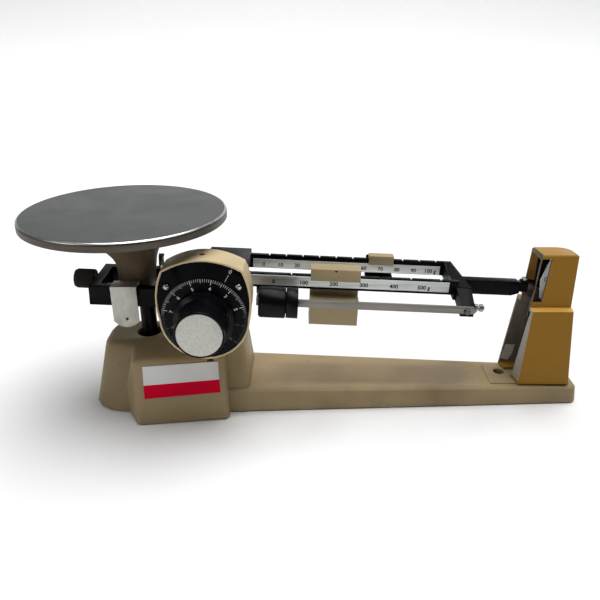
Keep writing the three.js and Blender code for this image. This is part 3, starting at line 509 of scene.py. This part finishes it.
def pan_support():
    """Skewed trumpet between the hanger and the plate; sections are (height, centre x, radius)."""
    low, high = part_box("pan_support")
    top, bottom = high.z / MM, low.z / MM
    sections = [
        (bottom + 2.5, 4.5, 12.3), (bottom, 4.5, 12.8), (bottom, 4.5, 13.9),
        (bottom + 0.7, 4.5, 14.4), (106, 4.7, 14.5), (111, 4.9, 14.7), (115, 5.2, 15.2),
        (118, 4.8, 15.9), (121, 4.4, 17), (124, 3.7, 18.6), (127, 3, 20.6), (131, 2.3, 23.0),
        (137, 1.4, 26), (144, 0.7, 28.8), (152, 0, 30.8), (top, 0, 31),
    ]
    bm = skin([circle(r, z, 72, x) for z, x, r in sections])
    add_piece("support", bm, TABLE, "pan", "support_paint", ["pan_support"], smooth_deg=50)


def cover_hole():
    """A dark disc of painted shade inside the punched hole of the front bearing cover."""
    low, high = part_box("bearing_cover_front")
    middle = ((low.x + high.x) / 2 - PLATE_X) / MM
    front, back, radius = 26.9, 26.5, 1.08
    bm = turned([(0.2, back), (radius, back), (radius, front), (0.2, front)], 24)
    place = TABLE @ at_mm(middle + 0.6, 0, 80) @ FACING
    add_piece("cover_hole", bm, place, "pan", "bearing_cover", material="hole_shade")


pan_plate()
pan_support()
for node, width in [
    ("pan_hanger", 0.8), ("bearing_cover_front", 0.25), ("bearing_cover_rear", 0.25),
    ("pan_stem", 0.4),
]:
    carry(node, width)
cover_hole()

# ---- base --------------------------------------------------------------------------------------


def label():
    """A plain white label with a red band below; the corners come from the CAD plate."""
    vertices = frame["nodes"]["label_plate"].data.vertices
    corners = sorted((v.co.copy() for v in vertices), key=lambda corner: corner.y)
    low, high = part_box("label_plate")

    def near(x, z):
        """The corner nearest to x and z, on the side of the plate that faces the reader."""
        return min(corners, key=lambda c: (c - Vector((x, c.y, z))).length + (c.y + 0.06) * 0.5)

    a, b = near(low.x, low.z), near(high.x, low.z)
    c, d = near(high.x, high.z), near(low.x, high.z)
    band_top = 0.42  # of the label's height

    def point(u, v, lift):
        flat = a.lerp(b, u).lerp(d.lerp(c, u), v)
        return (flat - Vector((0, lift * MM, 0))) / MM

    carry("label_plate", 0.15)
    rim = [(0.0, 0.0), (1.0, 0.0), (1.0, band_top), (0.0, band_top)]
    bm = skin([[point(u, v, lift) for u, v in rim] for lift in (0.0, INK)])
    add_piece("label_band", bm, TO_MM, "base", "label", material="label_red")


carry("base_casting", 0.8, segments=3)
for i in range(1, 5):
    carry(f"foot_{i}", 0.6)
label()

# ---- dial --------------------------------------------------------------------------------------

DISC_LOW, DISC_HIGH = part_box("dial_disc")
DISC_FRONT = -DISC_LOW.y / MM
DISC_R = (DISC_HIGH.z - DISC_LOW.z) / 2 / MM
FACE_FRONT = -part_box("dial_face_plate")[0].y / MM
KNOB_FRONT = -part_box("dial_knob")[0].y / MM
GRAM = math.radians(29.58)  # angle of one gram on the disc
INDEX = math.radians(29.3)  # the index line, to the right of upright
READING = 3.43  # grams at rest
TICKS = [(10, 4.1, 0.19), (5, 3.2, 0.14), (1, 2.3, 0.12)]  # each so many tenths: length, half width


def around(angle, radius, height):
    """A place on the dial at an angle to the right of upright, with its Y pointing outwards."""
    return Matrix.Rotation(-angle, 4, "Z") @ at_mm(0, radius, height)


def at_gram(gram, radius, height):
    return around(INDEX + (READING - gram) * GRAM, radius, height)


def dial_disc():
    back, edge = DISC_FRONT - 1, 0.15
    profile = [
        (0.5, back), (DISC_R, back), (DISC_R, DISC_FRONT - edge), (DISC_R - edge, DISC_FRONT),
        (0.5, DISC_FRONT),
    ]
    add_piece("disc", turned(profile, 160), DIAL, "dial", "dial_disc", ["dial_disc"])


def graduations():
    bm = bmesh.new()
    for tenth in range(101):
        length, half = next((size, side) for step, size, side in TICKS if tenth % step == 0)
        tick = plate_of([(-half, -length), (half, -length), (half, 0), (-half, 0)], 0, INK)
        place = at_gram(tenth / 10, DISC_R - 0.1, DISC_FRONT)
        bmesh.ops.transform(tick, matrix=place, verts=tick.verts)
        mesh = bpy.data.meshes.new("tick")
        tick.to_mesh(mesh)
        tick.free()
        bm.from_mesh(mesh)
        bpy.data.meshes.remove(mesh)
    add_piece("dial_ticks", bm, DIAL, "dial", "dial_disc", material="dial_ink")
    texts = [(str(gram), at_gram(gram, 23.9, DISC_FRONT + INK / 2)) for gram in range(11)]
    figures("dial_figures", texts, DIAL, "dial", "dial_disc", "dial_ink", 3.6, 0.08)


def dial_index():
    """The index line and its figure, on the housing's face."""
    start, end, half = 32.4, 38.4, 0.15
    line = plate_of([(-half, start), (half, start), (half, end), (-half, end)], 0, INK)
    bmesh.ops.transform(line, matrix=around(INDEX, 0, FACE_FRONT), verts=line.verts)
    add_piece("index_line", line, DIAL, "base", "dial_face", material="white_ink")
    texts = [("0", around(INDEX, 41.0, FACE_FRONT + INK / 2))]
    figures("index_figure", texts, DIAL, "base", "dial_face", "white_ink", 4.2)


def knob():
    """Stepped knob: wide skirt, shoulder, ribbed grip and a raised rim round its cap."""
    skirt, front = DISC_FRONT + 0.3, KNOB_FRONT
    shoulder = skirt + 6.3
    grip = 17.6
    plain = [
        (0.5, skirt), (22, skirt), (22, skirt + 3.6), (21.7, skirt + 4.3), (21, skirt + 4.8),
        (19.0, shoulder - 0.3), (18.6, shoulder + 0.1), (18.1, shoulder + 3),
        (17.7, shoulder + 4.2),
    ]
    ribbed = [
        (shoulder + 4.8, 0.05), (shoulder + 5.4, 0.3), (front - 2.4, 0.3), (front - 1.9, 0.05),
    ]
    rim = [
        (grip, front - 0.7), (17.4, front - 0.2), (17.0, front), (16.6, front),
        (16.4, front - 0.2), (16.4, front - 1.9), (0.5, front - 1.9),
    ]
    rings = [circle(r, h, 288) for r, h in plain]
    rings += [circle(grip, h, 288, ribs=72, depth=depth) for h, depth in ribbed]
    rings += [circle(r, h, 288) for r, h in rim]
    bm = skin(rings)
    add_piece("knob", bm, DIAL, "dial", "black_plastic", ["dial_knob"], smooth_deg=28)
    cap = [
        (0.5, front - 1.7), (15.9, front - 1.7), (16.15, front - 0.3), (15.95, front + 0.03),
        (15.5, front + 0.08), (8, front + 0.08), (0.5, front + 0.08),
    ]
    bm = turned(cap, 160)
    add_piece("knob_cap", bm, DIAL, "dial", "knob_cap", ["dial_knob_cap"], smooth_deg=28)


def face_screw(node):
    """Domed screw head, standing on the dial's face."""
    low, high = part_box(node)
    middle = (low + high) / 2 - PIVOT
    front = -low.y / MM
    r, rise, skirt = (high.x - low.x) / 2 / MM, 1.75, 2.0
    head = [(0.3, front)]
    for step in range(1, 9):
        angle = math.pi / 2 * step / 8
        head.append((r * math.sin(angle), front - rise * (1 - math.cos(angle))))
    head += [(r, front - skirt), (r - 0.2, front - skirt - 0.1), (0.3, front - skirt - 0.1)]
    bm = turned(head, 48)
    place = DIAL @ at_mm(middle.x / MM, middle.z / MM, 0)
    add_piece(node + "_shown", bm, place, "base", "chrome_screw", [node], smooth_deg=40)


carry("dial_housing", 0.9, segments=3)
carry("dial_face_plate", 0.2)
dial_disc()
graduations()
dial_index()
knob()
face_screw("face_screw_left")
face_screw("face_screw_right")

# ---- beam --------------------------------------------------------------------------------------


def scale_figures(node, name, marks, first, pitch, left, height):
    """Figures on a beam's scale strip, one for each notch.

    first and pitch place the notches, from the main knife edge. left is how far to the left of
    its notch a figure's middle stands, and height is how far above the knife edge.
    """
    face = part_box(node)[0].y / MM - 0.02
    texts = [
        (text, at_mm(first + pitch * i - left, face, height) @ FACING)
        for i, text in enumerate(marks)
    ]
    figures(name, texts, BEAM, "beam", "scale_strip", "ink", 4.3, 0.12)


def zero_knob():
    """Zero adjusting knob with fine knurling and chamfered ends."""
    stud_end, bore = -89.7, 2.3
    start, end = stud_end - 17, stud_end - 1.4
    sections = [
        (5.9, start, 0), (6.7, start + 0.3, 0), (6.9, start + 1.3, 0), (7.1, start + 1.5, 0),
        (7.55, start + 1.9, 0.45), (7.55, end - 0.6, 0.45), (7.0, end, 0.1),
    ]
    rings = [circle(bore, start + 0.6, 240)]
    rings += [circle(r, h, 240, ribs=48, depth=depth) for r, h, depth in sections]
    rings += [circle(bore, end, 240)]
    bm = skin(rings)
    place = BEAM @ at_mm(0, 0, 6.5) @ Matrix.Rotation(math.pi / 2, 4, "Y")
    slot, replaced = "black_plastic", ["zero_adjust_knob"]
    add_piece("zero_knob", bm, place, "zero_knob", slot, replaced, "zero_knob")


carry("beam_casting", 0.4)
for node, width in [
    ("rear_scale", 0.1), ("front_scale", 0.1), ("arm_clip", 0.12), ("pointer_arm", 0.5),
    ("pointer", 0.15), ("pointer_screw", 0.3), ("tare_bar", 0.25), ("balance_nut_inner", 0.25),
    ("balance_nut_outer", 0.25), ("damping_vane", 0.1), ("fulcrum_stand", 0.4),
]:
    carry(node, width)
carry("tare_bar_screw", 0.2, material="dark_steel")

REAR_MARKS = [str(grams) for grams in range(0, 100, 10)] + ["100 g"]
FRONT_MARKS = [str(grams) for grams in range(0, 500, 100)] + ["500 g"]
scale_figures("rear_scale", "rear_figures", REAR_MARKS, 43.2, 13.33, 4.4, 18.7)
scale_figures("front_scale", "front_figures", FRONT_MARKS, 61.2, 22.54, 13.2, 19.2)
zero_knob()

# ---- poises ------------------------------------------------------------------------------------


def poise_mark():
    """The small black mark at the top of the large poise's front face, over its middle."""
    front, top, middle, half = 24.5, 32, 94, 1.3
    outline = [(middle - half, top - 0.5), (middle + half, top - 0.5), (middle, top - 2.3)]
    bm = plate_of(outline, front - INK, front + 0.03)
    slot = SLOT_OF["large_poise"]
    add_piece("poise_mark", bm, BEAM @ FACING, BODY_OF["large_poise"], slot, material="ink")


for node, width in [
    ("large_poise", 0.45), ("small_poise", 0.35), ("small_poise_hanger", 0.3),
    ("tare_poise", 0.25), ("tare_poise_ring", 0.25),
]:
    carry(node, width)
poise_mark()

# ---- tower -------------------------------------------------------------------------------------

POST_FLOOR = 2.2  # thickness of the post's floor, whose edge is gold


def tower_shell(node, width, lip_from, inside, lip, top):
    """A tower casting; its hollow side, its left edges above lip_from and its top differ."""
    shell = carry(node, width, segments=3, split_at=lip_from)
    for material in (inside, lip, top):
        shell.data.materials.append(MATERIALS[material])
    low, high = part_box(node)
    middle = (low + high) / 2
    for face in shell.data.polygons:
        inwards = (middle - face.center) * Vector((1, 1, 0.0))
        reach = inwards.length
        faces_in = reach > 1e-4 and face.normal.dot(inwards / reach) > 0.3
        if faces_in and abs(face.normal.z) < 0.6:
            face.material_index = 1
        elif face.normal.x < -0.5 and face.center.z > lip_from:
            face.material_index = 2
        # Upward faces at the very top take the top material, painted light from above.
        elif face.normal.z > 0.7 and face.center.z > high.z - 3 * MM:
            face.material_index = 3


def bare_patch():
    """A thin sheet of painted light at the foot of the rear wall, on the inside of the tower's post."""
    outline = [(304.3, 36.2), (312.3, 35.8), (310.9, 27.1), (308.2, 21.0), (301.6, 22.6)]
    wall_y, wall_z, lean = 15.0, 16.4, 0.0123  # the wall's inner face at its foot, and its slope
    rings = [
        [(x, wall_y - lean * (z - wall_z) - lift, z) for x, z in outline] for lift in (0.06, 0.0)
    ]
    bm = skin(rings)
    add_piece("bare_patch", bm, TABLE, "base", SLOT_OF["tower_post"], material="bare_patch")


post_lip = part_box("tower_post")[0].z + POST_FLOOR * MM
cap_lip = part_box("tower_cap")[0].z
tower_shell("tower_post", 0.4, post_lip, "tower_inside", "tower_lip", "tower_ledge")
tower_shell("tower_cap", 0.3, cap_lip, "cap_inside", "cap_lip", "tower_top")
carry("index_plate", 0.1)
bare_patch()
ZERO_MARK = [("0", at_mm(322.6, -0.95, 101.3) @ FACING)]
figures("tower_figure", ZERO_MARK, TABLE, "base", "index_white", "ink", 5.2, 0.05)

# ---- floor, light and camera -------------------------------------------------------------------


def backdrop():
    """Pale floor that curves up into a wall far behind the object; lengths are in metres."""
    half_width, front, back, rise, top = 6.0, -4.0, 3.0, 1.5, 5.0
    bends = [math.pi / 2 * i / 12 for i in range(1, 13)]
    line = [(front, 0.0), (back, 0.0)]
    line += [(back + rise * math.sin(a), rise * (1 - math.cos(a))) for a in bends]
    line.append((back + rise, top))
    bm = bmesh.new()
    rows = [[bm.verts.new((x, y, z)) for x in (-half_width, half_width)] for y, z in line]
    for near, far in zip(rows, rows[1:]):
        bm.faces.new((near[0], near[1], far[1], far[0]))
    mesh = bpy.data.meshes.new("floor")
    bm.to_mesh(mesh)
    bm.free()
    mesh.polygons.foreach_set("use_smooth", [True] * len(mesh.polygons))
    floor = bpy.data.objects.new("floor", mesh)
    bpy.context.scene.collection.objects.link(floor)
    finish = Finish("floor", (0.84, 0.84, 0.84), 0.8, specular=0.1)
    finish.vary("Roughness", finish.noise(3, 2), 0.65, 0.8)
    mesh.materials.append(finish.material)


def sky_light():
    data = bpy.data.lights.new("sky_light", "SUN")
    data.energy = 3.5
    data.angle = math.radians(55)
    sun = bpy.data.objects.new("sky_light", data)
    sun.rotation_euler = (math.radians(-5), math.radians(8), 0)
    bpy.context.scene.collection.objects.link(sun)


def area_light(name, place, target, size, power):
    data = bpy.data.lights.new(name, "AREA")
    data.shape = "RECTANGLE"
    data.size, data.size_y = size
    data.energy = power
    light = bpy.data.objects.new(name, data)
    light.location = place
    light.rotation_euler = (Vector(target) - Vector(place)).to_track_quat("-Z", "Y").to_euler()
    bpy.context.scene.collection.objects.link(light)


def studio():
    world = bpy.data.worlds.new("studio")
    world.use_nodes = True
    background = world.node_tree.nodes["Background"]
    background.inputs["Color"].default_value = (0.9, 0.93, 1.0, 1)
    background.inputs["Strength"].default_value = 0.07
    bpy.context.scene.world = world
    bpy.context.scene.view_settings.view_transform = "Standard"


def camera():
    data = bpy.data.cameras.new("camera")
    data.lens = 38.81
    data.sensor_width = 36
    seat = bpy.data.objects.new("camera", data)
    seat.location = (PLATE_X + 0.13166, -0.46677, 0.29473)
    seat.rotation_euler = (math.radians(90 - 24.35), 0, math.radians(0.06))
    bpy.context.scene.collection.objects.link(seat)
    bpy.context.scene.camera = seat


backdrop()
sky_light()
area_light("left_light", (-1.2, -0.7, 0.8), (-0.1, 0, 0.05), (0.5, 0.7), 3.8)
area_light("wall_light", (0, 0.8, 2.4), (0, 4.3, 1.2), (4.0, 0.6), 60)
studio()
camera()
